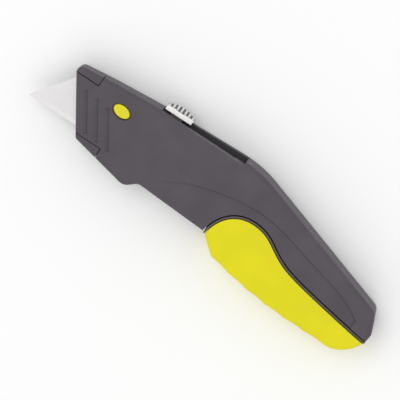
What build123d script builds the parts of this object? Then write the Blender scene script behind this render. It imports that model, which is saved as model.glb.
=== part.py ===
from build123d import *
from math import cos, radians, sin
import os

# Retractable utility knife, in millimetres.
# It is drawn with X along the blade's slide, from the nose to the tail, Y towards the
# thumb slider, and Z through the thickness, with the blade in the plane Z = 0.
# The last step moves every piece so that the knife lies on its far side at Z = 0.

# ---- driving dimensions ----
# blade
blade_length = 61.9
blade_height = 19.0
blade_thickness = 0.65
blade_end_slope = 53.0          # degrees between the edge and each end
bevel_width = 2.0
notch_width = 3.0
notch_depth = 3.6
notch_spacing = 15.0
blade_tip_x = -25.7
spare_blade_count = 5

# casing
nose_half = 7.2                 # half thickness at the nose
body_half = 10.0                # half thickness of the handle
taper_start_x = -15.0
taper_end_x = 62.0
wall = 2.0
edge_radius = 2.4
seam_gap = 0.35
nose_face_x = 0.5               # where the blade's edge leaves the nose
nose_angle = 121.7              # degrees, the nose face's line
nose_top_y = blade_height + 5.7
nose_bottom_y = -4.0
back_start = (28.7, blade_height + 9.6)   # front end of the straight back
brow = (4.6, blade_height + 7.8)          # where the back bends towards the nose
knee = (80.3, blade_height + 11.07)       # where the back turns down to the tail
knee_radius = 58.0
tail_top = (158.2, 4.8)
tail_low = (162.4, -5.0)
tail_end = (162.0, -8.6)
lip = (32.5, -10.1)             # lowest point of the nose's underside
lip_step = (37.8, -5.5)
grip_front = (73.4, -7.1)
# line between the casing and the magazine, from the front corner to the tail
magazine_line = [
    (76.0, 0.9), (82.0, 7.2), (91.3, 9.6), (100.5, 7.6), (109.5, 2.4), (119.5, -1.2), (130.0, -3.4),
    (140.7, -5.3), (151.4, -7.1),
]
# crease above the shallow recess of the casing's side
crease_line = [
    (37.8, -4.9), (46.0, 2.0), (57.3, 7.9), (73.5, 12.5), (88.0, 14.4), (103.0, 13.1), (123.0, 7.9),
    (144.8, 1.7),
]
crease_end = (153.0, -3.0)
recess_depth = 0.8

# nose features
groove_count = 3
groove_start = 5.5              # from the nose face to the first groove's step
groove_pitch = 4.9
groove_width = 2.4               # run of the slope down to each step
groove_depth = 0.6
groove_top_y = blade_height - 1.3
groove_low_y = 1.0
groove_drop = 0.7               # each groove starts and ends this much lower
tab_setback = 0.5
tab_end_lean = 0.4              # lean of the upper tab's end over the height of the cut
upper_tab_y = blade_height + 3.0
upper_tab_end_x = -0.6
lower_tab_y = -1.7
lower_tab_end_x = 14.9
nose_block = 6.5                # depth of solid nose round the blade's way
guide_thickness = 0.5
guide_clearance = 0.15

# slot, track and slider
slot_start_x = 29.0
slot_end_x = 73.2
slot_half = 4.4
near_rim_y = blade_height + 9.0
track_wall = 0.8
track_floor_y = blade_height + 7.6
track_floor = 1.0
track_overlap = 2.4
stem_slot_half = 1.8
slider_start_x = 29.5
slider_length = 13.9
slider_half = 3.3
slider_bottom_y = track_floor_y + track_floor + 1.5
slider_crown = 4.7
slider_shoulder = 2.4
rib_count = 7
rib_radius = 0.55
stem_length = 6.0
stem_half = 1.5
stem_bottom_y = blade_height + 3.6
travel = 28.5                   # slide of the blade
mid_stop_share = 0.5

# carrier
carrier_start_x = 7.5
carrier_end_x = 41.0
carrier_low_y = 2.6
carrier_high_y = blade_height + 3.5
carrier_far_z = -5.4
cover_thickness = 1.6
blade_room = 0.08               # clearance on each side of the blade in the carrier
post_half = 3.3
post_top_y = track_floor_y - 0.4
post_low_y = blade_height - 1.0
rail_clearance = 0.3
rail_width = 1.3
fit_clearance = 0.15

# release button and blade latch
button_at = (14.1, blade_height - 1.0)
button_half_length = 4.15
button_half_width = 2.65
button_tilt = -6.3
button_gap = 0.4
dish_width = 0.7
dish_depth = 0.5
stem_radius = 1.1
bracket_thickness = 0.5
pad_top_z = 2.8
pad_thickness = 0.8
tooth_width = 2.2
latch_low_y = blade_height - 3.8
latch_top_y = carrier_high_y - 0.9
latch_plate = 0.8

# magazine
magazine_gap = 0.6
line_steps = 14
rim_width = 0.8
rim_half = 9.4
rim_line_gap = 0.4
belly_low_y = -20.45
belly_curve = 0.0025
belly_level_x = 130.0
scallop_start_x = 83.0
scallop_pitch = 10.6
scallop_count = 6
scallop_depth = 0.35
grip_skin = 2.6
core_half = 7.0
pin_at = (79.0, -8.8)
pin_radius = 0.9
pin_clearance = 0.05
knuckle_radius = 1.8
ear_radius = 2.3
ear_half = 3.0
ear_root = (76.6, 4.0)
ear_clearance = 0.35
swing = 50.0                    # degrees that the magazine opens
tray_half = 3.6
tray_wall = 0.8
tray_margin = 0.6
tray_way_end = 141.5            # tail end of the casing's opening for the tray
stack_at = (84.0, -10.2)
stack_tilt = -6.0
stack_gap = 0.15

# fasteners and springs
screw_places = [(24.0, -4.2), (84.5, 19.6), (147.5, 0.9)]
screw_radius = 1.3
screw_head_radius = 2.6
screw_head_depth = 2.2
screw_length = 14.0
screw_recess = 0.6
boss_radius = 3.8
rivet_radius = 1.0
leaf = 0.3


# reach of cutting shapes past the knife, and past the ends of the magazine's line
beyond = 60.0
line_run_on = 8.0


# ---- helpers ----
def half_at(x):
    """Half thickness of the casing at a place along the knife."""
    share = (x - taper_start_x) / (taper_end_x - taper_start_x)
    return nose_half + (body_half - nose_half) * min(max(share, 0.0), 1.0)


def slab(face, low, high):
    """A flat face in the plane Z = 0 made a solid from low to high."""
    return Pos(0, 0, low) * extrude(face, amount=high - low, dir=(0, 0, 1))


def block(x0, x1, y0, y1, z0, z1):
    """A box between three pairs of planes."""
    return Pos((x0 + x1) / 2, (y0 + y1) / 2, (z0 + z1) / 2) * Box(x1 - x0, y1 - y0, z1 - z0)


def area(*points):
    """A closed face through the given corners."""
    return make_face(Polyline(*points, close=True))


def bar(x, y, radius, z0, z1):
    """A round bar along Z."""
    return Pos(x, y, (z0 + z1) / 2) * Cylinder(radius, z1 - z0)


def strip(points, thickness, z0, z1):
    """A bent leaf of the given thickness through the given places."""
    path = FilletPolyline(*points, radius=thickness * 2)
    return slab(trace(path, thickness), z0, z1)


def coil(radius, wire, height, turns):
    """An open coil spring standing on Z = 0, with its wire inside the given height."""
    path = Helix(pitch=(height - wire) / turns, height=height - wire, radius=radius)
    section = Plane(origin=path @ 0, z_dir=path % 0) * Circle(wire / 2)
    return Pos(0, 0, wire / 2) * sweep(section, path=path, is_frenet=True)


def nose_point(y):
    """The place on the nose face's line at a height."""
    return (nose_face_x + y / (sin(radians(nose_angle)) / cos(radians(nose_angle))), y)


def back_y(x):
    """Height of the straight back at a place along the knife."""
    slope = (knee[1] - back_start[1]) / (knee[0] - back_start[0])
    return back_start[1] + slope * (x - back_start[0])


# ---- outlines ----
def magazine_edge(depth=0.0):
    """The line between the casing and the magazine, moved a depth into the magazine."""
    line = Spline(grip_front, *magazine_line, tail_end)
    if depth == 0.0:
        return line
    shares = [i / line_steps for i in range(line_steps + 1)]
    inward = [(line % share).rotate(Axis.Z, -90) for share in shares]
    return Spline(*[line @ share + way * depth for share, way in zip(shares, inward)])


casing_corners = [
    tail_end, tail_low, tail_top, knee, back_start, brow, nose_point(nose_top_y),
    nose_point(nose_bottom_y), lip, lip_step, grip_front,
]


def casing_face():
    """Side outline of the casing."""
    over = FilletPolyline(*casing_corners, radius=[1.5, 3.5, knee_radius, 60.0, 30.0, 2.6, 2.0, 5.0, 4.0])
    return make_face(over + magazine_edge())


def room_face():
    """Side outline of the hollow inside the casing, a wall's thickness in."""
    places = [Vector(*corner) for corner in casing_corners]
    inner = []
    for before, corner, after in zip(places, places[1:], places[2:]):
        first = (corner - before).rotate(Axis.Z, 90).normalized()
        second = (after - corner).rotate(Axis.Z, 90).normalized()
        inner.append(corner + (first + second) * (wall / (1 + first.dot(second))))
    line = magazine_edge(-wall).trim(0.02, 0.98)
    radii = [0.0, 1.5, knee_radius - wall, 60.0, 30.0, 0.0, 0.0, 4.0, 2.0]
    over = FilletPolyline(line @ 1, *inner, line @ 0, radius=radii)
    return make_face(Curve() + [over, line])


def belly_y(x):
    """Height of the belly's ridges."""
    return belly_low_y + belly_curve * max(belly_level_x - x, 0.0) ** 2


def magazine_face(depth):
    """Side outline of the magazine, from a depth below its line with the casing."""
    top = magazine_edge(depth)
    ridges = [scallop_start_x + scallop_pitch * i for i in range(scallop_count + 1)]
    places = [(x, belly_y(x)) for x in ridges]
    belly = [SagittaArc(places[i], places[i + 1], scallop_depth) for i in range(scallop_count)]
    tail = Spline(places[-1], (152.5, -19.4), (156.6, -16.8), top @ 1)
    front = Line(top @ 0, places[0])
    return make_face(Curve() + [top, front, *belly, tail])


def core_face():
    """Side outline of the magazine's core, a skin's depth inside the grip."""
    top = magazine_edge(magazine_gap + rim_width / 2)
    ridges = [scallop_start_x + scallop_pitch * i for i in range(scallop_count + 1)]
    belly = [(x + 0.3 * grip_skin, belly_y(x) + grip_skin) for x in ridges]
    ends = [(155.5, -16.0 + 0.3 * grip_skin), top @ 0.99]
    low = Polyline(top @ 0.03, *belly, *ends)
    upper = top.trim(0.03, 0.99)
    return make_face(Curve() + [upper, low])


def below_line(depth):
    """The wide area that starts a depth below the line between casing and magazine."""
    top = magazine_edge(depth)
    front = top @ 0 - (top % 0) * line_run_on
    back = top @ 1 + (top % 1) * line_run_on
    around = Polyline(top @ 1, back, (back.X, -beyond), (front.X, -beyond), front, top @ 0)
    return make_face(Curve() + [top, around])


def envelope(skin, low=0.0):
    """The space inside the casing's tapered sides, a skin's depth down."""
    far = 5 * beyond
    side = Polyline(
        (-far, low), (-far, nose_half - skin), (taper_start_x, nose_half - skin),
        (taper_end_x, body_half - skin), (far, body_half - skin), (far, low), close=True,
    )
    face = make_face(Plane.XZ * side)
    return extrude(face, amount=far, both=True)


# ---- casing ----
outline = casing_face()
inside = room_face()


def half_shell():
    """One casing half with rounded outer edges, its side towards +Z, and its room inside."""
    solid = slab(outline, 0, body_half) & envelope(0)
    side = [f for f in solid.faces() if f.center().Z > nose_half - 1 and f.normal_at().Z > 0.9]
    rim = []
    for face in side:
        for edge in face.edges():
            ridge = edge.length > 20 and abs((edge @ 0).X - (edge @ 1).X) < 0.01
            if not ridge and edge.geom_type != GeomType.BSPLINE:
                rim.append(edge)
    return fillet(rim, radius=edge_radius)


def recess(depth):
    """The shallow hollow under the crease, with a soft sloping bank."""
    top = Spline(crease_line[0], *crease_line[1:], crease_end)
    low = Polyline(crease_end, (152.0, -40.0), (30.0, -40.0), crease_line[0])
    hollow = slab(make_face(top + low), body_half - depth, body_half + depth)
    bank = [e for e in hollow.edges() if e.geom_type == GeomType.BSPLINE and e.center().Z < body_half]
    return chamfer(bank, length=0.9 * depth)


def grooves():
    """Cuts across the nose, each sloping down towards the tail to a sharp step."""
    lean = radians(nose_angle)
    over = 1.0
    cuts = []
    for i in range(groove_count):
        off = Vector((groove_start + groove_pitch * i) / sin(lean), 0, 0)
        foot = Vector(*nose_point(groove_low_y - groove_drop * i), 0) + off
        head = Vector(*nose_point(groove_top_y - groove_drop * i), 0) + off
        foot = foot + Vector(0, 0, half_at(foot.X) - groove_depth)
        head = head + Vector(0, 0, half_at(head.X) - groove_depth)
        section = Polyline(
            (0, 0), (-groove_width, -groove_depth), (-groove_width, -groove_depth - over),
            (0, -groove_depth - over), close=True)
        place = Plane(origin=foot, x_dir=(sin(lean), -cos(lean), 0), z_dir=head - foot)
        cuts.append(place * extrude(make_face(section), amount=(head - foot).length))
    return cuts


def nose_way(low, high, grow=0.0):
    """The blade's way through the solid nose, between two levels."""
    foot = nose_point(-0.4 - grow)
    head = nose_point(blade_height + 0.5 + grow)
    depth = nose_block / sin(radians(nose_angle))
    face = area(
        (foot[0] - 3, foot[1]), (foot[0] + depth, foot[1]),
        (head[0] + depth, head[1]), (head[0] - 3, head[1]))
    return slab(face, low, high)


def tab_zone(grow):
    """Where the rear casing's two tabs reach round the nose."""
    upper_end, lower_end = upper_tab_end_x + grow, lower_tab_end_x + grow
    upper_y, lower_y = upper_tab_y - grow, lower_tab_y + grow
    upper = area(
        nose_point(upper_y), (upper_end - tab_end_lean, upper_y), (upper_end + tab_end_lean, beyond),
        (-beyond, beyond), (-beyond, upper_y),
    )
    lower = area((-beyond, lower_y), (lower_end, lower_y), (lower_end, -beyond), (-beyond, -beyond))
    return upper + lower


def inner_room(low):
    """The hollow inside one casing half."""
    room = slab(inside, low, body_half) & envelope(wall)
    nose_back = nose_block / sin(radians(nose_angle))
    foot, head = nose_point(-beyond), nose_point(beyond)
    solid_nose = area(
        (foot[0] - beyond, -beyond), (foot[0] + nose_back, -beyond), (head[0] + nose_back, beyond),
        (head[0] - beyond, beyond))
    return room - slab(solid_nose, -1, body_half + 1)


def rails(side):
    """The ledge under the carrier and the rib against its cheek, for one half."""
    start, end = carrier_start_x + 1.5, carrier_end_x + travel + 5.0
    ledge_top = carrier_low_y - rail_clearance
    ledge = block(start, end, ledge_top - rail_width, ledge_top, 1.0, nose_half)
    cheek = cover_thickness + blade_thickness / 2 + blade_room if side > 0 else -carrier_far_z
    rib_low = carrier_low_y + 0.4
    rib = block(start, end, rib_low, rib_low + rail_width, cheek + rail_clearance, nose_half)
    return ledge + rib


def bosses(z0, z1):
    """Round posts that the casing screws hold the halves together through."""
    return Part() + [bar(x, y, boss_radius, z0, z1) for x, y in screw_places]


track_span = (slot_start_x - track_overlap, slot_end_x + track_overlap)


def track_space():
    """The room that the slide track takes in the casing's back."""
    floor_part = block(*track_span, track_floor_y, track_floor_y + track_floor, -slot_half, slot_half)
    mouth = area(
        (slot_start_x, track_floor_y), (slot_end_x - 0.3, track_floor_y),
        (slot_end_x + 1.0, 45), (slot_start_x, 45),
    )
    way_half = post_half + rail_clearance
    under = block(track_span[0], track_span[1], post_low_y, track_floor_y, -way_half, way_half)
    return floor_part + slab(mouth, -slot_half, slot_half) + under


def tray_way():
    """The opening in the casing's lower wall that the blade tray swings through."""
    face = area((85.0, -25), (85.0, 12.5), (102.0, 12.5), (tray_way_end, 4.0), (tray_way_end, -25))
    return slab(face, -tray_half - 0.6, tray_half + 0.6)


def ear_face(radius_more=0.0):
    """Side shape of the hinge ear."""
    low = Pos(*pin_at) * Circle(ear_radius + radius_more)
    high = Pos(*ear_root) * Circle(ear_radius + radius_more)
    return make_hull(low.edges() + high.edges())


def casing_half(side):
    """A casing half in its place: side 1 towards the viewer's side +Z, side -1 away."""
    shell = half_shell()
    zone = tab_zone(seam_gap if side > 0 else 0.0)
    shell = shell - recess(recess_depth)
    shell = shell - grooves()
    hollow = inner_room(-1.0)
    shell = shell - hollow
    shell = shell + ((rails(side) + bosses(0, body_half)) & slab(inside, 0, body_half) & envelope(wall / 2))
    shell = shell - nose_way(-1, blade_thickness / 2 + guide_clearance + guide_thickness)
    if side > 0:
        shell = shell - slab(zone, -1, body_half + 5)
        lowered = area(
            (slot_start_x, near_rim_y), (slot_end_x - 0.2, near_rim_y),
            (slot_end_x + 1.2, 45), (slot_start_x, 45))
        shell = shell - slab(lowered, slot_half - 1, body_half + 5)
        button_hole = Pos(*button_at) * Rot(0, 0, button_tilt) * Ellipse(
            button_half_length + button_gap, button_half_width + button_gap)
        shell = shell - slab(button_hole, 1, body_half + 5)
        top = half_at(button_at[0])
        dish = Pos(*button_at) * Rot(0, 0, button_tilt) * Ellipse(
            button_half_length + dish_width, button_half_width + dish_width)
        shell = shell - slab(dish, top - dish_depth, body_half + 5)
        for x, y in screw_places:
            tip = screw_length + screw_recess - half_at(x)
            shell = shell - bar(x, y, screw_radius, -1, tip + 0.5)
    else:
        shell = mirror(shell, about=Plane.XY)
        full = slab(outline, 0, body_half) & envelope(0)
        lobes = half_shell() & Pos(0, 0, -tab_setback) * full & slab(tab_zone(0.0), -1, body_half)
        lobes = lobes - nose_way(-1, 1.2)
        keep = slab(inside, -1, body_half) & envelope(wall)
        keep = keep & block(lower_tab_end_x - 8, 40, -10, -1, -1, 12)
        lobes = lobes - keep
        shell = shell + lobes
        for x, y in screw_places:
            seat = -half_at(x) + screw_recess + screw_head_depth
            shell = shell - bar(x, y, screw_radius + 0.2, -body_half - 1, 1)
            shell = shell - bar(x, y, screw_head_radius + 0.2, -body_half - 1, seat)
        ear = ear_face() - Pos(*pin_at) * Circle(pin_radius + pin_clearance)
        shell = shell + slab(ear, -ear_half, ear_half)
        rim_cut = block(slot_start_x, slot_end_x, track_floor_y + track_floor, 45, -6.9, -slot_half)
        lining = area(
            (slot_start_x, back_y(slot_start_x) - track_wall),
            (slot_end_x, back_y(slot_end_x) - track_wall), (slot_end_x, 45), (slot_start_x, 45))
        shell = shell - (rim_cut & slab(lining, -body_half, 0))
    shell = shell - track_space()
    shell = shell - tray_way()
    if side > 0:
        shell = shell - slab(ear_face(ear_clearance), -1, ear_half + 0.2)
    return shell


# ---- blade ----
def blade_solid():
    """A blade with its edge on Y = 0, from X = 0, in the plane Z = 0."""
    run = blade_height / (sin(radians(blade_end_slope)) / cos(radians(blade_end_slope)))
    face = area((0, 0), (blade_length, 0), (blade_length - run, blade_height), (run, blade_height))
    for side in (-1, 1):
        x = blade_length / 2 + side * notch_spacing / 2
        face = face - Pos(x, blade_height - notch_depth / 2 + 0.5) * RectangleRounded(
            notch_width, notch_depth + 1, notch_width * 0.4)
    body = slab(face, -blade_thickness / 2, blade_thickness / 2)
    for side in (-1, 1):
        tip = 0.04
        wedge = make_face(Polyline(
            (-1, side * tip), (-1, side * blade_thickness), (bevel_width, side * blade_thickness),
            (bevel_width, side * blade_thickness / 2), close=True))
        along_edge = Plane(origin=(-5, 0, 0), x_dir=(0, 1, 0), z_dir=(1, 0, 0))
        cut = along_edge * extrude(wedge, amount=blade_length + 10)
        body = body - cut
    return body


# ---- carrier ----
deck_z = blade_thickness / 2 + blade_room
blade_end_x = blade_tip_x + blade_length


def blade_pocket(low, high):
    """The room for the blade in the carrier, open at the front and below."""
    run = blade_height * cos(radians(blade_end_slope)) / sin(radians(blade_end_slope))
    grow = fit_clearance
    face = area(
        (blade_tip_x - 20, -5), (blade_end_x + grow + 4, -5), (blade_end_x + grow, 0),
        (blade_end_x + grow - run, blade_height + grow), (blade_tip_x - 20, blade_height + grow))
    return slab(face, low, high)


latch_x = blade_tip_x + blade_length / 2 + notch_spacing / 2


def latch_room(low, high):
    """The window for the blade latch."""
    return block(latch_x - 3.4, latch_x + 3.6, latch_low_y - 0.6, carrier_high_y + 1, low, high)


def carrier():
    """The plastic slide that holds the blade and takes the slider's stem."""
    body = block(carrier_start_x, carrier_end_x, carrier_low_y, carrier_high_y, carrier_far_z, deck_z)
    body = body + block(stem_start - 1.8, carrier_end_x, post_low_y, post_top_y, -post_half, post_half)
    body = body - blade_pocket(-deck_z, deck_z + 1)
    floor_z = carrier_far_z + 0.6
    body = body - latch_room(floor_z, deck_z + 1)
    pocket = block(
        stem_start - fit_clearance, stem_start + stem_length + fit_clearance, spring_seat_y,
        post_top_y + 1, -stem_half - fit_clearance, stem_half + fit_clearance)
    body = body - pocket
    for x, y in rivet_places:
        body = body - bar(x, y, rivet_radius, carrier_far_z - 1, deck_z + 1)
    return body


def carrier_cover():
    """The near cheek that closes the carrier."""
    top = deck_z + cover_thickness
    plate = block(carrier_start_x, stem_start - 2.0, carrier_low_y, carrier_high_y, deck_z, top)
    plate = plate - latch_room(deck_z - 1, top + 1)
    for x, y in rivet_places:
        plate = plate - bar(x, y, rivet_radius, deck_z - 1, top + 1)
    return plate


def rivets():
    """Rivets through the carrier and its cover, with low round heads."""
    top = deck_z + cover_thickness
    group = []
    for x, y in rivet_places:
        shank = bar(x, y, rivet_radius, carrier_far_z + 0.1, top)
        group.append(shank + bar(x, y, rivet_radius + 0.6, top, top + 0.5))
    return Part() + group


stem_start = slider_start_x + 3.5
spring_seat_y = blade_height - 0.4
rivet_places = [(25.5, blade_height + 1.8), (29.2, 13.0)]


def slider():
    """The thumb slider: a domed cap with cross ribs, and its stem."""
    x0, x1 = slider_start_x, slider_start_x + slider_length
    peak = (x0 + 0.42 * slider_length, slider_bottom_y + slider_crown)
    left, right = slider_bottom_y + slider_shoulder - 0.2, slider_bottom_y + slider_shoulder
    dome = ThreePointArc((x0, left), peak, (x1, right))
    sides = Polyline((x1, right), (x1, slider_bottom_y), (x0, slider_bottom_y), (x0, left))
    cap = slab(make_face(dome + sides), -slider_half, slider_half)
    top_edges = [e for e in cap.edges() if e.geom_type == GeomType.CIRCLE]
    cap = chamfer(top_edges, length=1.5, length2=1.2)
    for i in range(rib_count):
        spot = dome @ ((i + 1) / (rib_count + 1))
        cap = cap - bar(spot.X, spot.Y + 0.15, rib_radius, -slider_half - 1, slider_half + 1)
    stem_end = stem_start + stem_length
    stem = block(stem_start, stem_end, stem_bottom_y, slider_bottom_y, -stem_half, stem_half)
    return cap + stem


def track():
    """The black lining of the slot: a floor with a narrow way for the stem, and two walls."""
    floor_part = block(*track_span, track_floor_y, track_floor_y + track_floor, -slot_half, slot_half)
    end = slot_end_x - 0.3
    near = block(slot_start_x, end, track_floor_y, near_rim_y, slot_half - track_wall, slot_half)
    far_face = area(
        (slot_start_x, track_floor_y), (end, track_floor_y), (end, back_y(end)),
        (slot_start_x, back_y(slot_start_x)))
    far = slab(far_face, -slot_half, -slot_half + track_wall)
    flange = area(
        (slot_start_x, back_y(slot_start_x) - track_wall), (end, back_y(end) - track_wall),
        (end, back_y(end)), (slot_start_x, back_y(slot_start_x)))
    body = floor_part + near + far + slab(flange, -6.6, -slot_half)
    way = block(
        stem_start - 0.6, stem_start + stem_length + travel + 0.6, track_floor_y - 1,
        track_floor_y + track_floor + 0.01, -stem_slot_half, stem_slot_half)
    body = body - way
    for share in (0.0, mid_stop_share, 1.0):
        x = detent_x + travel * share
        top = track_floor_y + 0.7
        body = body - block(x - 1.3, x + 1.3, track_floor_y - 1, top, stem_slot_half, slot_half)
    return body


detent_x = 45.0


def detent_leaf():
    """A steel leaf on the carrier's post, with a bump that stands in a track notch."""
    lift = leaf / 2
    points = [
        (stem_start + stem_length + 0.4, post_top_y + lift), (carrier_end_x, post_top_y + lift),
        (detent_x - 1.6, track_floor_y - 0.5), (detent_x, track_floor_y + 0.25),
        (detent_x + 2.0, track_floor_y - 1.0)]
    return strip(points, leaf, stem_slot_half + 0.1, post_half)


# ---- button and latch ----
button_top = half_at(button_at[0]) + 0.1
flange_top = half_at(button_at[0]) - wall - 0.35
bracket_z = pad_top_z + 0.7


def button():
    """The oval release button with its flange and stem."""
    place = Pos(*button_at) * Rot(0, 0, button_tilt)
    cap = slab(place * Ellipse(button_half_length, button_half_width), flange_top, button_top)
    rim = [e for e in cap.edges() if e.center().Z > button_top - 0.01]
    cap = fillet(rim, radius=0.5)
    base = place * Ellipse(button_half_length + 0.9, button_half_width + 0.9)
    flange = slab(base, flange_top - 0.6, flange_top)
    stem = bar(*button_at, stem_radius, pad_top_z + 0.2, flange_top - 0.6)
    return cap + flange + stem


def button_clip():
    """The ring that stops the button's stem above the bracket."""
    ring = Circle(stem_radius + 0.8) - Circle(stem_radius)
    return slab(Pos(*button_at) * ring, bracket_z - 0.45, bracket_z - 0.1)


def bracket():
    """A stamped bridge under the button, with its feet against the casing."""
    x, y = button_at
    roof = half_at(x - 7.6) - wall
    plate = block(x - 6.5, x + 6.5, y - 3.0, y + 3.0, bracket_z, bracket_z + bracket_thickness)
    feet = block(x - 7.3, x - 6.5, y - 3.0, y + 3.0, bracket_z, roof)
    feet = feet + block(x + 6.5, x + 7.3, y - 3.0, y + 3.0, bracket_z, roof)
    return plate + feet - bar(x, y, stem_radius + 0.2, bracket_z - 1, bracket_z + 2)


def latch():
    """The blade latch: a pad under the button, a leg over the blade's back, and the tooth."""
    x0, x1 = latch_x - 2.4, latch_x + 2.8
    far_top = -deck_z - 1.5
    pad = block(x0, x1, latch_low_y, latch_top_y, pad_top_z - pad_thickness, pad_top_z)
    leg = block(x0, x1, blade_height + 0.6, latch_top_y, far_top - latch_plate, pad_top_z)
    plate = block(x0, x1, latch_low_y, latch_top_y, far_top - latch_plate, far_top)
    tooth_low = blade_height - notch_depth + 0.7
    half = tooth_width / 2
    tooth = block(latch_x - half, latch_x + half, tooth_low, blade_height - 0.4, far_top, 0.2)
    return pad + leg + plate + tooth


# ---- magazine ----
core_region = core_face()
shut_magazine = magazine_face(magazine_gap)


def stack_place():
    """Where the lower front corner of the spare blades lies."""
    return Pos(*stack_at) * Rot(0, 0, stack_tilt)


def tray_face(grow):
    """Side shape of the blade tray, round the spare blades."""
    run = blade_height * cos(radians(blade_end_slope)) / sin(radians(blade_end_slope))
    g = grow
    return stack_place() * area(
        (-1.6 * g, -g), (blade_length + 1.6 * g, -g),
        (blade_length - run + 0.6 * g, blade_height + g), (run - 0.6 * g, blade_height + g))


def ear_sweep():
    """The space that the casing's hinge ear takes as the magazine swings."""
    reach = Vector(*ear_root) - Vector(*pin_at)
    spots = [Pos(*pin_at) * Circle(ear_radius + ear_clearance)]
    for share in (0.0, 0.33, 0.67, 1.0):
        root = Vector(*pin_at) + reach.rotate(Axis.Z, swing * share)
        spots.append(Pos(root.X, root.Y) * Circle(ear_radius + ear_clearance))
    face = make_hull([edge for spot in spots for edge in spot.edges()])
    return slab(face, -ear_half - 0.3, ear_half + 0.3)


def magazine_base():
    """The magazine's frame: the rim along the casing and the core under the grip."""
    body = slab(shut_magazine, -rim_half, rim_half)
    body = body - slab(below_line(magazine_gap + rim_width), -body_half, body_half)
    body = body + slab(core_region, -core_half, core_half)
    body = body + bar(*pin_at, knuckle_radius, -core_half, core_half)
    body = body - slab(tray_face(tray_margin + tray_wall), -tray_half, tray_half)
    body = body - ear_sweep()
    body = body - bar(*pin_at, pin_radius, -core_half - 1, core_half + 1)
    return body


def overmould():
    """The soft yellow grip moulded over the magazine's core."""
    skin = below_line(magazine_gap + rim_width + rim_line_gap)
    body = slab(shut_magazine, -body_half, body_half) & slab(skin, -body_half - 1, body_half + 1)
    edges = []
    for edge in body.edges():
        flat = abs(abs(edge.center().Z) - body_half) < 0.01
        spot = edge.center()
        low = spot.Y < belly_y(spot.X) + 2.5 or spot.X > 149
        if flat and low and spot.X > scallop_start_x - 6:
            edges.append(edge)
    body = fillet(edges, radius=edge_radius)
    body = body - slab(core_region, -core_half, core_half)
    body = body - bar(*pin_at, knuckle_radius, -core_half, core_half)
    body = body - slab(tray_face(tray_margin + tray_wall), -tray_half, tray_half)
    return body - ear_sweep()


def tray():
    """The sheet-metal tray round the spare blades, open at the top."""
    outer = slab(tray_face(tray_margin + tray_wall), -tray_half, tray_half)
    inner = slab(tray_face(tray_margin), -tray_half + tray_wall, tray_half - tray_wall)
    mouth = stack_place() * block(
        18, blade_length - 18, blade_height - 3, blade_height + 10,
        -tray_half + tray_wall, tray_half - tray_wall)
    return outer - inner - mouth


stack_pitch = blade_thickness + stack_gap
stack_low = -tray_half + tray_wall + stack_gap + blade_thickness / 2


def keeper():
    """A bowed strip that presses the spare blades together."""
    low = stack_low + stack_pitch * (spare_blade_count - 1) + blade_thickness / 2 + 0.08
    high = tray_half - tray_wall - 0.08
    mid = blade_length / 2
    bow = ThreePointArc((mid - 12, high - 0.1), (mid, low + 0.1), (mid + 12, high - 0.1))
    face = trace(bow, 0.18)
    solid = extrude(face, amount=6)
    return stack_place() * Pos(0, 12, 0) * Rot(90, 0, 0) * solid


def catch_leaf():
    """The leaf at the tail that the magazine's rim snaps past."""
    return strip([(150.0, -4.0), (153.5, -4.2), (156.5, -5.0), (159.0, -4.4)], leaf, -2.5, 2.5)


# ---- assembly ----
pieces = {}
pieces["front_casing"] = casing_half(1)
pieces["rear_casing"] = casing_half(-1)

screws = []
for x, y in screw_places:
    deck = -half_at(x) + screw_recess
    head = bar(x, y, screw_head_radius, deck, deck + screw_head_depth)
    shank = bar(x, y, screw_radius, deck + screw_head_depth, deck + screw_length)
    cross = block(x - 1.6, x + 1.6, y - 0.3, y + 0.3, deck - 1, deck + 1.2)
    cross = cross + block(x - 0.3, x + 0.3, y - 1.6, y + 1.6, deck - 1, deck + 1.2)
    screws.append(head + shank - cross)
pieces["casing_screws"] = Part() + screws

guide_low = blade_thickness / 2 + guide_clearance
pieces["near_guide_plate"] = nose_way(guide_low, guide_low + guide_thickness) & slab(outline, 0, body_half)
pieces["far_guide_plate"] = mirror(pieces["near_guide_plate"], about=Plane.XY)
pieces["slide_track"] = track()
pieces["button_bracket"] = bracket()
bracket_top = bracket_z + bracket_thickness
button_coil_height = flange_top - 0.6 - bracket_top
pieces["button_spring"] = Pos(*button_at, bracket_top) * coil(2.0, 0.3, button_coil_height, 3)
pieces["catch_spring"] = catch_leaf()

pieces["blade_carrier"] = carrier()
pieces["carrier_cover"] = carrier_cover()
pieces["cover_rivets"] = rivets()
pieces["blade"] = Pos(blade_tip_x, 0, 0) * blade_solid()
pieces["detent_spring"] = detent_leaf()
spring_room = stem_bottom_y - spring_seat_y
pieces["slider_spring"] = Pos(stem_start + stem_length / 2, spring_seat_y, 0) * Rot(-90, 0, 0) * coil(
    1.2, 0.35, spring_room, 5)
latch_floor = carrier_far_z + 0.6
latch_room_height = -deck_z - 1.5 - latch_plate - latch_floor
latch_spring_place = Pos(latch_x + 0.2, blade_height - 0.8, latch_floor)
pieces["latch_spring"] = latch_spring_place * coil(1.5, 0.25, latch_room_height, 3)
pieces["thumb_slider"] = slider()
pieces["blade_latch"] = latch()
pieces["release_button"] = button()
pieces["button_clip"] = button_clip()

pieces["magazine_base"] = magazine_base()
pieces["grip_overmould"] = overmould()
pieces["blade_tray"] = tray()
pieces["hinge_pin"] = bar(*pin_at, pin_radius, -core_half, core_half)
pieces["keeper_spring"] = keeper()
for i in range(spare_blade_count):
    pieces[f"spare_blade_{i + 1}"] = stack_place() * Pos(0, 0, stack_low + stack_pitch * i) * blade_solid()

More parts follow.
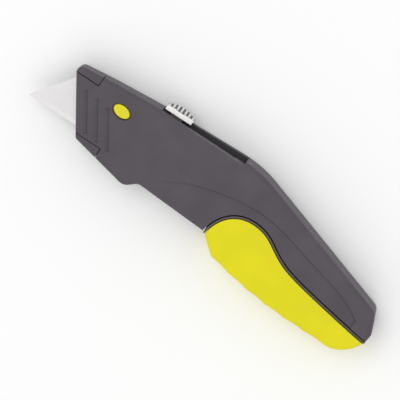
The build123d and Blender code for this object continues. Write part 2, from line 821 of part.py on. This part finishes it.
boxes = [piece.bounding_box() for piece in pieces.values()]
low_x, high_x = min(b.min.X for b in boxes), max(b.max.X for b in boxes)
low_y, high_y = min(b.min.Y for b in boxes), max(b.max.Y for b in boxes)
low_z = min(b.min.Z for b in boxes)
rest_place = Pos(-(low_x + high_x) / 2, -(low_y + high_y) / 2, -low_z)

os.makedirs("parts", exist_ok=True)
for name, piece in pieces.items():
    export_step(rest_place * piece, f"parts/{name}.step")
shift = rest_place.position
print("drawing origin sits at", round(shift.X, 3), round(shift.Y, 3), round(shift.Z, 3))
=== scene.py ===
"""Looks of a retractable utility knife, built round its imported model."""

import math

import bmesh
import bpy
from mathutils import Matrix, Vector


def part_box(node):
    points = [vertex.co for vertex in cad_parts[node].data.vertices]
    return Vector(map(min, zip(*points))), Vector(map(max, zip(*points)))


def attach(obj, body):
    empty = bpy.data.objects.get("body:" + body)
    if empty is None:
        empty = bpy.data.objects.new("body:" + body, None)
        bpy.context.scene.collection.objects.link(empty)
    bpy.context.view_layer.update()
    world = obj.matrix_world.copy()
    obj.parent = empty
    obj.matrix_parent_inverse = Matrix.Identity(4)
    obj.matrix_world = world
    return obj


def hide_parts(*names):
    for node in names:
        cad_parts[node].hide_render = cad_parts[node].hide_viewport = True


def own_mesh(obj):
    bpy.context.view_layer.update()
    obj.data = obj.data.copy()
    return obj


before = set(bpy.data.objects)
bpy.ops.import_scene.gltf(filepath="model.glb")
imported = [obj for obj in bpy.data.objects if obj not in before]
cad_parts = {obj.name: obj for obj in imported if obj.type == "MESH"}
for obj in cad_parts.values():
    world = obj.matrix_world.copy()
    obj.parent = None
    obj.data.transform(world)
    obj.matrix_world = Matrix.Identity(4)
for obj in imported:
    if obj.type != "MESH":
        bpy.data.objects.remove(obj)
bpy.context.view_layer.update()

bl_info = {
    "name": "Utility Knife Finish",
    "version": (1, 0, 0),
    "blender": (4, 5, 0),
    "location": "View3D > Sidebar > Knife",
    "description": "Finishes and fine pieces for a retractable utility knife",
    "category": "Object",
}

MM = 0.001
X_AXIS, Y_AXIS, Z_AXIS = 0, 1, 2

# ---- thumb slider ----
CAP_STEPS = 90                  # columns of the cap's mesh along the slide
CAP_ACROSS = 24                 # faces over its dome
CAP_HEIGHT = 4.7 * MM
CAP_CREASE = math.radians(25)
BAND_HEIGHT = 2.15 * MM         # the flat band under the dome
BAND_ROUND = 0.35 * MM
DOME_ROOT = 0.12                # height of the dome at its ends, as a share of its crown
DOME_POWER = 2.2                # how square the dome is across
RIB_PROUD = 0.7                 # share of a rib's radius that stands over the dome
RIB_INSET = 0.6                 # share of a rib's radius that its ends keep inside the band
RIB_STEPS = 21
RIB_SIDES = 12
RIB_CREASE = math.radians(50)
STEM_START = 3.5 * MM           # from the cap's front end
STEM_END = 9.5 * MM
STEM_HALF = 1.5 * MM
STEM_CHAMFER = 0.3 * MM

# ---- coil springs: joint, body, axis, wire, turns and how far they are pressed ----
COILS = {
    "button_spring": ("button_press", "handle", Z_AXIS, 0.3 * MM, 3, 1.0 * MM),
    "latch_spring": ("latch_press", "carrier", Z_AXIS, 0.25 * MM, 3, 1.0 * MM),
    "slider_spring": ("slider_press", "carrier", Y_AXIS, 0.35 * MM, 5, 0.8 * MM),
}
COIL_SLACK = 0.02 * MM          # left open between a coil and the piece that presses it
COIL_STEPS = 32
COIL_SIDES = 12
COIL_CREASE = math.radians(60)

# ---- finishes ----
COAT_CLOUD = 14 * MM            # width of the soft patches of each finish
GRIP_CLOUD = 18 * MM
STEEL_CLOUD = 9 * MM
BLADE_CLOUD = 12 * MM
PAPER_CLOUD = 300 * MM
GRIP_GRAIN = 0.22 * MM
PLASTIC_GRAIN = 0.3 * MM
ROLLED_LINES = (6 * MM, 0.06 * MM, 0.06 * MM)       # size of one line along X, Y and Z
DRAWN_LINES = (0.4 * MM, 0.4 * MM, 0.4 * MM)
TURNED_LINES = (0.15 * MM, 0.15 * MM, 3 * MM)
PLATED_LINES = (2 * MM, 0.3 * MM, 2 * MM)
BODY_LINES = (7 * MM, 0.09 * MM, 1 * MM)
EDGE_LINES = (0.07 * MM, 5 * MM, 1 * MM)
EDGE_FADE = (0.93, 1.03)        # where the ground edge fades out, in shares of its width
PAPER_DARK, PAPER_LIGHT = (0.90, 0.90, 0.90), (0.91, 0.91, 0.91)

# ---- stage ----
GROUND = -0.05 * MM
WORLD_LIGHT = 0.85
SOFT_BOXES = [
    ("key_light", (-0.5, 0.3, 1.5), 0.9, 5.0),
    ("fill_light", (0.7, -0.6, 1.4), 1.2, 3.0),
]
CAMERA_LEAN = math.radians(10.0)
CAMERA_ROLL = math.radians(33.2)
CAMERA_DISTANCE = 1.6
CAMERA_REACH = 20
VIEW_WIDTH = 0.18
SENSOR = 36.0
# the view's middle, measured from the blade's tip along the slide and up from its edge
VIEW_MIDDLE = (90.7 * MM, 2.45 * MM)


def low(node):
    """Lowest corner of a node at rest."""
    return Vector(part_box(node)[0])


def high(node):
    """Highest corner of a node at rest."""
    return Vector(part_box(node)[1])


# ---- settings ----
class KnifeColours(bpy.types.PropertyGroup):
    """Colours of the knife's surfaces."""

    casing: bpy.props.FloatVectorProperty(
        name="Casing", description="Powder coat of the cast casing", subtype="COLOR",
        default=(0.083, 0.071, 0.085), size=3, min=0, max=1)
    rim: bpy.props.FloatVectorProperty(
        name="Rim", description="Plastic of the magazine's rim", subtype="COLOR",
        default=(0.095, 0.078, 0.080), size=3, min=0, max=1)
    grip: bpy.props.FloatVectorProperty(
        name="Grip", description="Soft grip over the magazine", subtype="COLOR",
        default=(0.70, 0.64, 0.004), size=3, min=0, max=1)
    button: bpy.props.FloatVectorProperty(
        name="Button", description="Release button", subtype="COLOR",
        default=(0.70, 0.62, 0.01), size=3, min=0, max=1)
    track: bpy.props.FloatVectorProperty(
        name="Track", description="Plastic of the slide track and carrier", subtype="COLOR",
        default=(0.035, 0.032, 0.036), size=3, min=0, max=1)
    steel: bpy.props.FloatVectorProperty(
        name="Steel", description="Ground steel of the blades", subtype="COLOR",
        default=(0.68, 0.665, 0.67), size=3, min=0, max=1)
    plating: bpy.props.FloatVectorProperty(
        name="Plating", description="Plating of the thumb slider", subtype="COLOR",
        default=(0.78, 0.76, 0.76), size=3, min=0, max=1)


class KnifeSizes(bpy.types.PropertyGroup):
    """Sizes of the fine pieces."""

    grain: bpy.props.FloatProperty(
        name="Coat grain", description="Width of one grain of the powder coat", unit="LENGTH",
        default=0.35 * MM, min=0.05 * MM, max=2 * MM)
    rib_pitch: bpy.props.FloatProperty(
        name="Rib pitch", description="Distance between ribs of the thumb slider", unit="LENGTH",
        default=1.9 * MM, min=0.5 * MM, max=4 * MM)
    rib_radius: bpy.props.FloatProperty(
        name="Rib radius", description="Radius of the thumb slider's ribs", unit="LENGTH",
        default=0.55 * MM, min=0.05 * MM, max=1 * MM)
    bevel_width: bpy.props.FloatProperty(
        name="Ground edge", description="Width of the blade's ground edge", unit="LENGTH",
        default=2.0 * MM, min=0.2 * MM, max=5 * MM)
    floor_size: bpy.props.FloatProperty(
        name="Floor", description="Side of the floor", unit="LENGTH", default=4.0, min=1, max=20)


# ---- node trees ----
class Value:
    """An output in a node tree, with Python's operators adding its Math nodes."""

    def __init__(self, tree, socket):
        self.tree = tree
        self.socket = socket

    def maths(self, operation, first, second):
        return self.tree.node("ShaderNodeMath", {"operation": operation}, {0: first, 1: second})

    def __add__(self, other):
        return self.maths("ADD", self, other)

    def __radd__(self, other):
        return self.maths("ADD", other, self)

    def __sub__(self, other):
        return self.maths("SUBTRACT", self, other)

    def __rsub__(self, other):
        return self.maths("SUBTRACT", other, self)

    def __mul__(self, other):
        return self.maths("MULTIPLY", self, other)

    def __rmul__(self, other):
        return self.maths("MULTIPLY", other, self)

    def __truediv__(self, other):
        return self.maths("DIVIDE", self, other)


class Tree:
    """A node tree that one method adds every node to."""

    def __init__(self, tree):
        self.tree = tree
        self.nodes = tree.nodes
        self.links = tree.links

    def node(self, kind, settings, sockets, output=0):
        """Add a node, set its settings, fill its sockets, and give one output."""
        made = self.nodes.new(kind)
        for key, value in settings.items():
            setattr(made, key, value)
        for key, value in sockets.items():
            if isinstance(value, Value):
                self.links.new(value.socket, made.inputs[key])
            else:
                made.inputs[key].default_value = value
        return Value(self, made.outputs[output])


class Builder(Tree):
    """A geometry tree with named inputs, turned into a plain mesh."""

    def __init__(self, name, inputs):
        super().__init__(bpy.data.node_groups.new(name, "GeometryNodeTree"))
        self.sockets = {}
        for label, kind in inputs.items():
            self.sockets[label] = self.tree.interface.new_socket(label, in_out="INPUT", socket_type=kind)
        self.tree.interface.new_socket("Geometry", in_out="OUTPUT", socket_type="NodeSocketGeometry")
        self.entry = self.nodes.new("NodeGroupInput")
        self.leave = self.nodes.new("NodeGroupOutput")

    def given(self, label):
        """One of the tree's inputs."""
        return Value(self, self.entry.outputs[label])

    def close(self, geometry, material):
        """End the tree in real geometry with its material."""
        real = self.node("GeometryNodeRealizeInstances", {}, {0: geometry})
        done = self.node("GeometryNodeSetMaterial", {}, {"Geometry": real, "Material": material})
        self.links.new(done.socket, self.leave.inputs[0])

    def make(self, name, values):
        """A plain mesh piece from the tree at the given input values."""
        piece = bpy.data.objects.new(name, bpy.data.meshes.new(name))
        bpy.context.scene.collection.objects.link(piece)
        step = piece.modifiers.new("build", "NODES")
        step.node_group = self.tree
        for label, value in values.items():
            step[self.sockets[label].identifier] = value
        graph = bpy.context.evaluated_depsgraph_get()
        mesh = bpy.data.meshes.new_from_object(piece.evaluated_get(graph))
        piece.modifiers.clear()
        piece.data = mesh
        mesh.name = name
        return piece


class Shader(Tree):
    """A material's node tree with one principled surface."""

    def __init__(self, name, colour, roughness, metallic=0.0, coat=0.0, gloss=0.5):
        self.material = bpy.data.materials.new(name)
        self.material.use_nodes = True
        super().__init__(self.material.node_tree)
        self.nodes.clear()
        self.surface = self.nodes.new("ShaderNodeBsdfPrincipled")
        output = self.nodes.new("ShaderNodeOutputMaterial")
        self.links.new(self.surface.outputs[0], output.inputs[0])
        self.surface.inputs["Base Color"].default_value = (*colour, 1)
        self.surface.inputs["Roughness"].default_value = roughness
        self.surface.inputs["Metallic"].default_value = metallic
        self.surface.inputs["Coat Weight"].default_value = coat
        self.surface.inputs["Specular IOR Level"].default_value = gloss
        self.material.diffuse_color = (*colour, 1)
        self.place = self.node("ShaderNodeTexCoord", {}, {}, "Object")

    def feed(self, socket, value):
        """Link a value to one of the surface's own sockets."""
        self.links.new(value.socket, self.surface.inputs[socket])

    def grain(self, sizes, detail=2.0):
        """Soft noise in cells of the given size, or of one size for each axis."""
        cell = sizes if isinstance(sizes, tuple) else (sizes, sizes, sizes)
        spread = self.node(
            "ShaderNodeMapping", {"vector_type": "POINT"},
            {"Vector": self.place, "Scale": [1 / size for size in cell]})
        return self.node(
            "ShaderNodeTexNoise", {}, {"Vector": spread, "Scale": 1.0, "Detail": detail, "Roughness": 0.5})

    def band(self, value, start, end):
        """A smooth step from 0 at start to 1 at end."""
        return self.node(
            "ShaderNodeMapRange", {"interpolation_type": "SMOOTHSTEP"},
            {"Value": value, "From Min": start, "From Max": end, "To Min": 0.0, "To Max": 1.0})

    def axis(self, index):
        """One coordinate of the surface's place."""
        return self.node("ShaderNodeSeparateXYZ", {}, {0: self.place}, index)

    def tint(self, factor, first, second):
        """A blend of two colours into the base colour."""
        blend = self.node(
            "ShaderNodeMix", {"data_type": "RGBA"}, {0: factor, 6: (*first, 1), 7: (*second, 1)}, output=2)
        self.feed("Base Color", blend)

    def relief(self, height, strength, distance):
        """Fine relief from a height."""
        bump = self.node(
            "ShaderNodeBump", {}, {"Height": height, "Strength": strength, "Distance": distance})
        self.feed("Normal", bump)


def shade(colour, factor):
    """A colour made lighter or darker."""
    return tuple(min(channel * factor, 1.0) for channel in colour)


# ---- materials ----
def coat_material(name, colour, grain, roughness):
    """Fine textured powder coat with faint unevenness."""
    shader = Shader(name, colour, roughness, gloss=0.18)
    fine = shader.grain(grain, detail=3.0)
    broad = shader.grain(COAT_CLOUD)
    shader.tint(shader.band(fine * 0.5 + broad * 0.5, 0.3, 0.7), shade(colour, 0.90), shade(colour, 1.12))
    shader.feed("Roughness", broad * 0.12 + fine * 0.08 + (roughness - 0.10))
    shader.relief(fine, strength=0.22, distance=0.06 * MM)
    return shader.material


def grip_material(name, colour):
    """Soft moulded rubber with a silky fine grain."""
    shader = Shader(name, colour, 0.55, gloss=0.2)
    fine = shader.grain(GRIP_GRAIN)
    broad = shader.grain(GRIP_CLOUD)
    shader.tint(shader.band(broad, 0.35, 0.65), shade(colour, 0.965), shade(colour, 1.02))
    shader.feed("Roughness", fine * 0.10 + broad * 0.08 + 0.46)
    shader.relief(fine, strength=0.12, distance=0.04 * MM)
    shader.surface.inputs["Sheen Weight"].default_value = 0.08
    return shader.material


def plastic_material(name, colour, roughness, coat=0.0):
    """Moulded plastic with a faint spark-eroded grain."""
    shader = Shader(name, colour, roughness, coat=coat, gloss=0.3)
    fine = shader.grain(PLASTIC_GRAIN)
    shader.tint(fine, shade(colour, 0.92), shade(colour, 1.06))
    shader.feed("Roughness", fine * 0.12 + (roughness - 0.06))
    shader.relief(fine, strength=0.08, distance=0.03 * MM)
    return shader.material


def steel_material(name, colour, roughness, along=ROLLED_LINES, dark=0.82):
    """Rolled or drawn steel with fine lines along one axis."""
    shader = Shader(name, colour, roughness, metallic=1.0)
    lines = shader.grain(along, detail=3.0)
    cloud = shader.grain(STEEL_CLOUD)
    shader.tint(shader.band(lines * 0.6 + cloud * 0.4, 0.3, 0.7), shade(colour, dark), colour)
    shader.feed("Roughness", lines * 0.16 + cloud * 0.06 + (roughness - 0.11))
    shader.relief(lines, strength=0.10, distance=0.02 * MM)
    return shader.material


def blade_material(name, colour, edge_y, bevel):
    """Blade steel: rolled lines along the body and grinding lines down the edge, with a painted highlight
    lightening the ground edge.
    """
    shader = Shader(name, colour, 0.34, metallic=0.85)
    body_lines = shader.grain(BODY_LINES, detail=3.0)
    edge_lines = shader.grain(EDGE_LINES, detail=3.0)
    cloud = shader.grain(BLADE_CLOUD)
    fade_start, fade_end = [edge_y + share * bevel for share in EDGE_FADE]
    ground = 1.0 - shader.band(shader.axis(Y_AXIS), fade_start, fade_end)
    lines = edge_lines * ground + body_lines * (1.0 - ground)
    # The uneven tone from the lines and patches is the steel's own; the lift on the ground edge is a painted
    # highlight.
    tone_and_edge_highlight = shader.band(lines * 0.3 + cloud * 0.3 + ground * 0.6, 0.1, 0.9)
    shader.tint(tone_and_edge_highlight, shade(colour, 0.9), shade(colour, 1.18))
    shader.feed("Roughness", lines * 0.12 + 0.30 - ground * 0.08)
    shader.relief(lines, strength=0.05, distance=0.015 * MM)
    return shader.material


def floor_material(name):
    """Pale seamless paper."""
    shader = Shader(name, PAPER_LIGHT, roughness=0.9, gloss=0.0)
    shader.tint(shader.grain(PAPER_CLOUD), PAPER_DARK, PAPER_LIGHT)
    return shader.material


def dress(nodes, material):
    """Give carried-over nodes a finish."""
    for name in nodes:
        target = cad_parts[name]
        target.data.materials.clear()
        target.data.materials.append(material)


# ---- mesh helpers ----
def solid_from_grid(name, columns, material):
    """A closed mesh from columns of places, each a loop round the piece, with closed ends."""
    mesh = bpy.data.meshes.new(name)
    count = len(columns[0])
    places = [place for column in columns for place in column]
    faces = []
    for i in range(len(columns) - 1):
        for j in range(count):
            k = (j + 1) % count
            faces.append((i * count + j, i * count + k, (i + 1) * count + k, (i + 1) * count + j))
    faces.append(tuple(range(count - 1, -1, -1)))
    last = (len(columns) - 1) * count
    faces.append(tuple(range(last, last + count)))
    mesh.from_pydata(places, [], faces)
    mesh.materials.append(material)
    mesh.update()
    piece = bpy.data.objects.new(name, mesh)
    bpy.context.scene.collection.objects.link(piece)
    return piece


def recalculate(piece):
    """Point a closed mesh's faces outwards."""
    work = bmesh.new()
    work.from_mesh(piece.data)
    bmesh.ops.recalc_face_normals(work, faces=work.faces)
    work.to_mesh(piece.data)
    work.free()


def smooth(piece, angle):
    """Smooth a mesh except across edges sharper than an angle."""
    piece.data.shade_smooth()
    piece.data.set_sharp_from_angle(angle=angle)


# ---- carried-over nodes ----
class KNIFE_OT_casing(bpy.types.Operator):
    """Coat the casing and line its slot"""

    bl_idname = "knife.casing"
    bl_label = "Casing"

    def execute(self, context):
        colours, sizes = context.scene.knife_colours, context.scene.knife_sizes
        coat = coat_material("casing_coat", colours.casing, sizes.grain, roughness=0.48)
        dress(["front_casing", "rear_casing"], coat)
        lining = plastic_material("track_plastic", colours.track, roughness=0.5)
        dress(["slide_track", "blade_carrier"], lining)
        return {"FINISHED"}


class KNIFE_OT_magazine(bpy.types.Operator):
    """Finish the magazine's rim and grip"""

    bl_idname = "knife.magazine"
    bl_label = "Magazine"

    def execute(self, context):
        colours = context.scene.knife_colours
        dress(["magazine_base"], plastic_material("rim_plastic", colours.rim, roughness=0.5))
        dress(["grip_overmould"], grip_material("grip_rubber", colours.grip))
        return {"FINISHED"}


class KNIFE_OT_metal(bpy.types.Operator):
    """Finish the blades, flat springs, screws and sheet-metal pieces"""

    bl_idname = "knife.metal"
    bl_label = "Metal"

    def execute(self, context):
        colours, sizes = context.scene.knife_colours, context.scene.knife_sizes
        dress(["blade"], blade_material("blade_steel_out", colours.steel, low("blade").y, sizes.bevel_width))
        spare = [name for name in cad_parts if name.startswith("spare_blade")]
        dress(spare, steel_material("blade_steel_spare", colours.steel, roughness=0.34))
        sheet = [
            "near_guide_plate", "far_guide_plate", "button_bracket", "carrier_cover", "blade_latch",
            "blade_tray"]
        dress(sheet, steel_material("sheet_steel", shade(colours.steel, 0.75), roughness=0.38))
        strip = ["catch_spring", "detent_spring", "button_clip", "keeper_spring"]
        drawn = steel_material("spring_wire", shade(colours.steel, 0.65), roughness=0.3, along=DRAWN_LINES)
        dress(strip, drawn)
        turned = ["casing_screws", "cover_rivets", "hinge_pin"]
        zinc = steel_material(
            "zinc_plate", shade(colours.steel, 0.6), roughness=0.36, along=TURNED_LINES)
        dress(turned, zinc)
        return {"FINISHED"}


class KNIFE_OT_button(bpy.types.Operator):
    """Finish the release button"""

    bl_idname = "knife.button"
    bl_label = "Release button"

    def execute(self, context):
        colours = context.scene.knife_colours
        gloss = plastic_material("button_plastic", colours.button, roughness=0.36, coat=0.15)
        dress(["release_button"], gloss)
        return {"FINISHED"}


# ---- coil springs ----
def coil_tree():
    """An open coil of round wire standing on Z = 0."""
    tree = Builder("wound_wire", {
        "Radius": "NodeSocketFloat", "Wire": "NodeSocketFloat", "Height": "NodeSocketFloat",
        "Turns": "NodeSocketFloat", "Material": "NodeSocketMaterial"})
    path = tree.node("GeometryNodeCurveSpiral", {}, {
        "Resolution": COIL_STEPS, "Rotations": tree.given("Turns"), "Start Radius": tree.given("Radius"),
        "End Radius": tree.given("Radius"), "Height": tree.given("Height") - tree.given("Wire")})
    section = tree.node("GeometryNodeCurvePrimitiveCircle", {"mode": "RADIUS"}, {
        "Resolution": COIL_SIDES, "Radius": tree.given("Wire") / 2.0})
    wound = tree.node("GeometryNodeCurveToMesh", {}, {0: path, 1: section, "Fill Caps": True})
    tree.close(wound, tree.given("Material"))
    return tree


def coil_piece(tree, node, axis, wire, turns, finish):
    """A coil along Y or Z in the place of a node, with its height and the middle of its seat."""
    start, end = low(node), high(node)
    height = end[axis] - start[axis] - COIL_SLACK
    piece = tree.make(node + "_coil", {
        "Radius": (end.x - start.x - wire) / 2, "Wire": wire, "Height": height,
        "Turns": float(turns), "Material": finish})
    seat = (start + end) / 2
    seat[axis] = start[axis]
    foot = seat.copy()
    foot[axis] += wire / 2
    stand = Matrix.Rotation(-math.pi / 2, 4, "X") if axis == Y_AXIS else Matrix.Identity(4)
    piece.data.transform(Matrix.Translation(foot) @ stand)
    recalculate(piece)
    smooth(piece, COIL_CREASE)
    return piece, height, seat


class KNIFE_OT_springs(bpy.types.Operator):
    """Wind the coil springs and attach them to their bodies in place of the imported ones"""

    bl_idname = "knife.springs"
    bl_label = "Coil springs"

    def execute(self, context):
        steel = shade(context.scene.knife_colours.steel, 0.8)
        finish = steel_material("coil_wire", steel, roughness=0.3, along=DRAWN_LINES)
        tree = coil_tree()
        for node, (joint, body, axis, wire, turns, travel) in COILS.items():
            piece, height, seat = coil_piece(tree, node, axis, wire, turns, finish)
            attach(piece, body)
            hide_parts(node)
            (height - travel) / height
            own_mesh(piece)
        return {"FINISHED"}


# ---- thumb slider ----
def dome_share(share):
    """Height of the slider's dome at a share of its length, from DOME_ROOT at its ends to 1."""
    return DOME_ROOT + (1 - DOME_ROOT) * (1 - (2 * share - 1) ** 2)


def cap_piece(material, valley, rib_radius):
    """The slider's body: a flat band on each side and a dome crowned both ways, with painted shade on the
    dome between its ribs.
    """
    start, end = low("thumb_slider"), high("thumb_slider")
    length, half = end.x - start.x, (end.z - start.z) / 2
    middle = (start.z + end.z) / 2
    foot = end.y - CAP_HEIGHT
    band = foot + BAND_HEIGHT
    rise = end.y - band - RIB_PROUD * rib_radius
    columns = []
    for i in range(CAP_STEPS + 1):
        share = i / CAP_STEPS
        x = start.x + length * share
        near_end = min(share, 1 - share) * length
        tuck = BAND_ROUND - math.sqrt(max(BAND_ROUND ** 2 - max(BAND_ROUND - near_end, 0) ** 2, 0))
        loop = []
        for j in range(CAP_ACROSS + 1):
            across = -1 + 2 * j / CAP_ACROSS
            height = rise * dome_share(share) * (1 - abs(across) ** DOME_POWER)
            loop.append((x, band + height - tuck, middle + (half - tuck) * across))
        loop.append((x, foot, middle + half - tuck))
        loop.append((x, foot, middle - half + tuck))
        columns.append(loop)
    cap = solid_from_grid("slider_cap", columns, material)
    cap.data.materials.append(valley)
    # The dome's faces between the ribs take the darkened copy of the plating: painted shade.
    for face in cap.data.polygons:
        if face.center.y > band + BAND_ROUND / 2 and start.x < face.center.x < end.x:
            face.material_index = 1
    recalculate(cap)
    smooth(cap, CAP_CREASE)
    return cap


def rib_tree():
    """Cross ribs in a row, each bent over the dome and flattened towards the row's ends."""
    tree = Builder("cross_ribs", {
        "Count": "NodeSocketInt", "Start": "NodeSocketVector", "End": "NodeSocketVector",
        "Left": "NodeSocketVector", "Crown": "NodeSocketVector", "Right": "NodeSocketVector",
        "Radius": "NodeSocketFloat", "Root": "NodeSocketFloat", "Material": "NodeSocketMaterial"})
    path = tree.node("GeometryNodeCurveArc", {"mode": "POINTS"}, {
        "Resolution": RIB_STEPS, "Start": tree.given("Left"), "Middle": tree.given("Crown"),
        "End": tree.given("Right")})
    section = tree.node("GeometryNodeCurvePrimitiveCircle", {"mode": "RADIUS"}, {
        "Resolution": RIB_SIDES, "Radius": tree.given("Radius")})
    rib = tree.node("GeometryNodeCurveToMesh", {}, {0: path, 1: section, "Fill Caps": True})
    row = tree.node("GeometryNodeMeshLine", {"mode": "END_POINTS"}, {
        "Count": tree.given("Count"), "Start Location": tree.given("Start"), "Offset": tree.given("End")})
    index = tree.node("GeometryNodeInputIndex", {}, {})
    side = 2.0 * (index + 0.5) / tree.given("Count") - 1.0
    tall = tree.given("Root") + (1.0 - tree.given("Root")) * (1.0 - side * side)
    size = tree.node("ShaderNodeCombineXYZ", {}, {0: 1.0, 1: tall, 2: 1.0})
    placed = tree.node("GeometryNodeInstanceOnPoints", {}, {"Points": row, "Instance": rib, "Scale": size})
    tree.close(placed, tree.given("Material"))
    return tree


def rib_piece(material, sizes):
    """The ribs of the thumb slider."""
    start, end = low("thumb_slider"), high("thumb_slider")
    length, half = end.x - start.x, (end.z - start.z) / 2
    middle = (start.z + end.z) / 2
    radius = sizes.rib_radius
    band = end.y - CAP_HEIGHT + BAND_HEIGHT
    count = max(2, int(length / sizes.rib_pitch))
    pitch = length / count
    crown = end.y - band - radius
    reach = half - RIB_INSET * radius
    ribs = rib_tree().make("slider_ribs", {
        "Count": count,
        "Start": (start.x + pitch / 2, band, middle), "End": (end.x - pitch / 2, band, middle),
        "Left": (0, 0, -reach), "Crown": (0, crown, 0), "Right": (0, 0, reach),
        "Radius": radius, "Root": DOME_ROOT, "Material": material})
    smooth(ribs, RIB_CREASE)
    return ribs


def stem_piece(material):
    """The slider's stem, from its cap down into the carrier."""
    start, end = low("thumb_slider"), high("thumb_slider")
    middle = (start.z + end.z) / 2
    top = end.y - CAP_HEIGHT + BAND_HEIGHT / 2
    loops = []
    for y, inset in ((start.y, STEM_CHAMFER), (start.y + STEM_CHAMFER, 0.0), (top, 0.0)):
        front, back = start.x + STEM_START + inset, start.x + STEM_END - inset
        near, far = middle - STEM_HALF + inset, middle + STEM_HALF - inset
        loops.append([(front, y, near), (back, y, near), (back, y, far), (front, y, far)])
    piece = solid_from_grid("slider_stem", loops, material)
    recalculate(piece)
    return piece


class KNIFE_OT_slider(bpy.types.Operator):
    """Make the thumb slider with its cross ribs and stem"""

    bl_idname = "knife.slider"
    bl_label = "Thumb slider"

    def execute(self, context):
        colours, sizes = context.scene.knife_colours, context.scene.knife_sizes
        plating = steel_material(
            "slider_plating", colours.plating, roughness=0.34, along=PLATED_LINES, dark=0.94)
        # A darkened copy of the plating: painted shade for the dome between the ribs and for the stem.
        painted_shade_finish = plastic_material("slider_valleys", shade(colours.plating, 0.16), roughness=0.6)
        cap = cap_piece(plating, painted_shade_finish, sizes.rib_radius)
        # The stem is plated metal like the cap; the darkened plating on it is painted shade for the gap
        # under the cap.
        for piece in (cap, rib_piece(plating, sizes), stem_piece(painted_shade_finish)):
            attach(piece, "slider")
            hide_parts("thumb_slider")
        return {"FINISHED"}


# ---- stage ----
def make_floor(context, half):
    """A square of pale paper under the knife."""
    mesh = bpy.data.meshes.new("floor")
    corners = [(-half, -half, GROUND), (half, -half, GROUND), (half, half, GROUND), (-half, half, GROUND)]
    mesh.from_pydata(corners, [], [(0, 1, 2, 3)])
    mesh.materials.append(floor_material("floor_paper"))
    floor = bpy.data.objects.new("floor", mesh)
    context.scene.collection.objects.link(floor)


def make_lights(context):
    """White surroundings and two soft boxes turned towards the knife."""
    world = bpy.data.worlds.new("studio")
    world.use_nodes = True
    surroundings = world.node_tree.nodes["Background"]
    surroundings.inputs["Color"].default_value = (1, 1, 1, 1)
    surroundings.inputs["Strength"].default_value = WORLD_LIGHT
    context.scene.world = world
    for name, place, side, power in SOFT_BOXES:
        light = bpy.data.lights.new(name, "AREA")
        light.shape = "SQUARE"
        light.size = side
        light.energy = power
        lamp = bpy.data.objects.new(name, light)
        lamp.location = place
        lamp.rotation_euler = (-Vector(place)).to_track_quat("-Z", "Y").to_euler()
        context.scene.collection.objects.link(lamp)


def make_camera(context):
    """A long lens over the near side, leaning towards the back and rolled."""
    along = Vector((1, 0, 0))
    upward = Vector((0, math.cos(CAMERA_LEAN), -math.sin(CAMERA_LEAN)))
    back = along.cross(upward)
    right = math.cos(CAMERA_ROLL) * along + math.sin(CAMERA_ROLL) * upward
    up = -math.sin(CAMERA_ROLL) * along + math.cos(CAMERA_ROLL) * upward
    tip = low("blade")
    middle = Vector((tip.x + VIEW_MIDDLE[0], tip.y + VIEW_MIDDLE[1], (tip.z + high("blade").z) / 2))
    camera = bpy.data.objects.new("camera", bpy.data.cameras.new("camera"))
    camera.data.sensor_width = SENSOR
    camera.data.lens = SENSOR * CAMERA_DISTANCE / VIEW_WIDTH
    camera.data.clip_end = CAMERA_REACH
    turn = Matrix((right, up, back)).transposed()
    camera.matrix_world = Matrix.Translation(middle + back * CAMERA_DISTANCE) @ turn.to_4x4()
    context.scene.collection.objects.link(camera)
    context.scene.camera = camera


class KNIFE_OT_stage(bpy.types.Operator):
    """Floor, soft light and camera"""

    bl_idname = "knife.stage"
    bl_label = "Stage"

    def execute(self, context):
        make_floor(context, context.scene.knife_sizes.floor_size / 2)
        make_lights(context)
        context.scene.view_settings.view_transform = "Standard"
        make_camera(context)
        return {"FINISHED"}


# ---- add-on ----
STEPS = (
    KNIFE_OT_casing, KNIFE_OT_magazine, KNIFE_OT_metal, KNIFE_OT_springs, KNIFE_OT_slider, KNIFE_OT_button,
    KNIFE_OT_stage,
)


class KNIFE_PT_panel(bpy.types.Panel):
    """Steps that finish the knife"""

    bl_idname = "KNIFE_PT_panel"
    bl_label = "Utility knife"
    bl_space_type = "VIEW_3D"
    bl_region_type = "UI"
    bl_category = "Knife"

    def draw(self, context):
        for step in STEPS:
            self.layout.operator(step.bl_idname)
        for group in (context.scene.knife_colours, context.scene.knife_sizes):
            for key in group.bl_rna.properties.keys():
                if key not in ("rna_type", "name"):
                    self.layout.prop(group, key)


CLASSES = (KnifeColours, KnifeSizes, *STEPS, KNIFE_PT_panel)


def register():
    for item in CLASSES:
        bpy.utils.register_class(item)
    bpy.types.Scene.knife_colours = bpy.props.PointerProperty(type=KnifeColours)
    bpy.types.Scene.knife_sizes = bpy.props.PointerProperty(type=KnifeSizes)


def unregister():
    del bpy.types.Scene.knife_sizes
    del bpy.types.Scene.knife_colours
    for item in reversed(CLASSES):
        bpy.utils.unregister_class(item)


def main():
    """Finish the knife."""
    register()
    bpy.ops.knife.casing()
    bpy.ops.knife.magazine()
    bpy.ops.knife.metal()
    bpy.ops.knife.springs()
    bpy.ops.knife.slider()
    bpy.ops.knife.button()
    bpy.ops.knife.stage()


if __name__ == "__main__":
    main()
